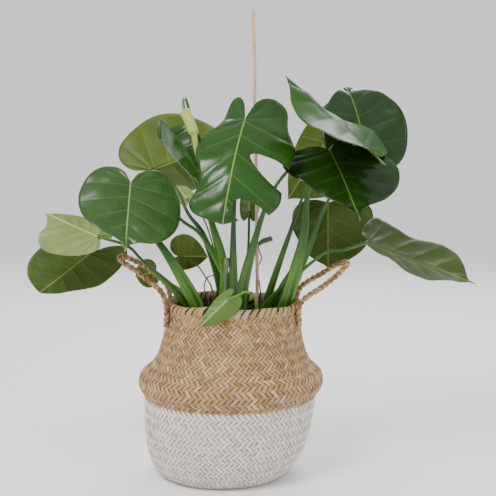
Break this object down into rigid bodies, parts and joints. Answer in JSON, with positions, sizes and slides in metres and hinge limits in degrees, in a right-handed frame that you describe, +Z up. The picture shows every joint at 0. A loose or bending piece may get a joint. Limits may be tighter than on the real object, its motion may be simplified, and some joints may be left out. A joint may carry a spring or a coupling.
{
  "type": "potted monstera plant",
  "caption": "Potted monstera with broad heart-shaped leaves and a split leaf on long stalks, a bamboo cane, soil and a plastic pot standing in a two-tone woven belly basket with rope handles.",
  "frame": {"origin": "centre of the basket's flat base, on the surface it stands on", "axes": "+Z up, -Y towards the front of the plant, +X to the right seen from the front"},
  "size_m": [0.7787, 0.3623, 0.8051],
  "materials": {
    "seagrass": "dry woven seagrass, natural above and washed white below",
    "rope": "twisted dry seagrass rope",
    "pot_plastic": "matte moulded nursery pot",
    "soil": "loose damp potting soil",
    "bamboo": "dry thin cane",
    "leaf": "waxy leaf, glossy above and dull below",
    "stalk": "smooth satin leaf stalk"
  },
  "bodies": {
    "root": {"aerial_root": "stalk", "bamboo_cane": "bamboo", "blade_back_left": "leaf", "blade_back_right": "leaf", "blade_broad_right": "leaf", "blade_centre_back": "leaf", "blade_far_right": "leaf", "blade_folded_right": "leaf", "blade_front_small": "leaf", "blade_heart_left": "leaf", "blade_low_left": "leaf", "blade_low_right": "leaf", "blade_mid_left": "leaf", "blade_new_rolled": "leaf", "blade_pale_left": "leaf", "blade_small_back": "leaf", "blade_small_left": "leaf", "blade_split_centre": "leaf", "blade_upright_right": "leaf", "blade_young": "leaf", "cut_stalk_short": "stalk", "cut_stalk_tall": "stalk", "grow_pot": "pot_plastic", "plaited_rim": "seagrass", "potting_soil": "soil", "rope_handle_left": "rope", "rope_handle_right": "rope", "stalk_back_left": "stalk", "stalk_back_right": "stalk", "stalk_broad_right": "stalk", "stalk_centre_back": "stalk", "stalk_far_right": "stalk", "stalk_folded_right": "stalk", "stalk_front_small": "stalk", "stalk_heart_left": "stalk", "stalk_low_left": "stalk", "stalk_low_right": "stalk", "stalk_mid_left": "stalk", "stalk_new_leaf": "stalk", "stalk_pale_left": "stalk", "stalk_small_back": "stalk", "stalk_small_left": "stalk", "stalk_split_centre": "stalk", "stalk_upright_right": "stalk", "stalk_young": "stalk", "woven_basket": "seagrass"}
  },
  "joints": []
}
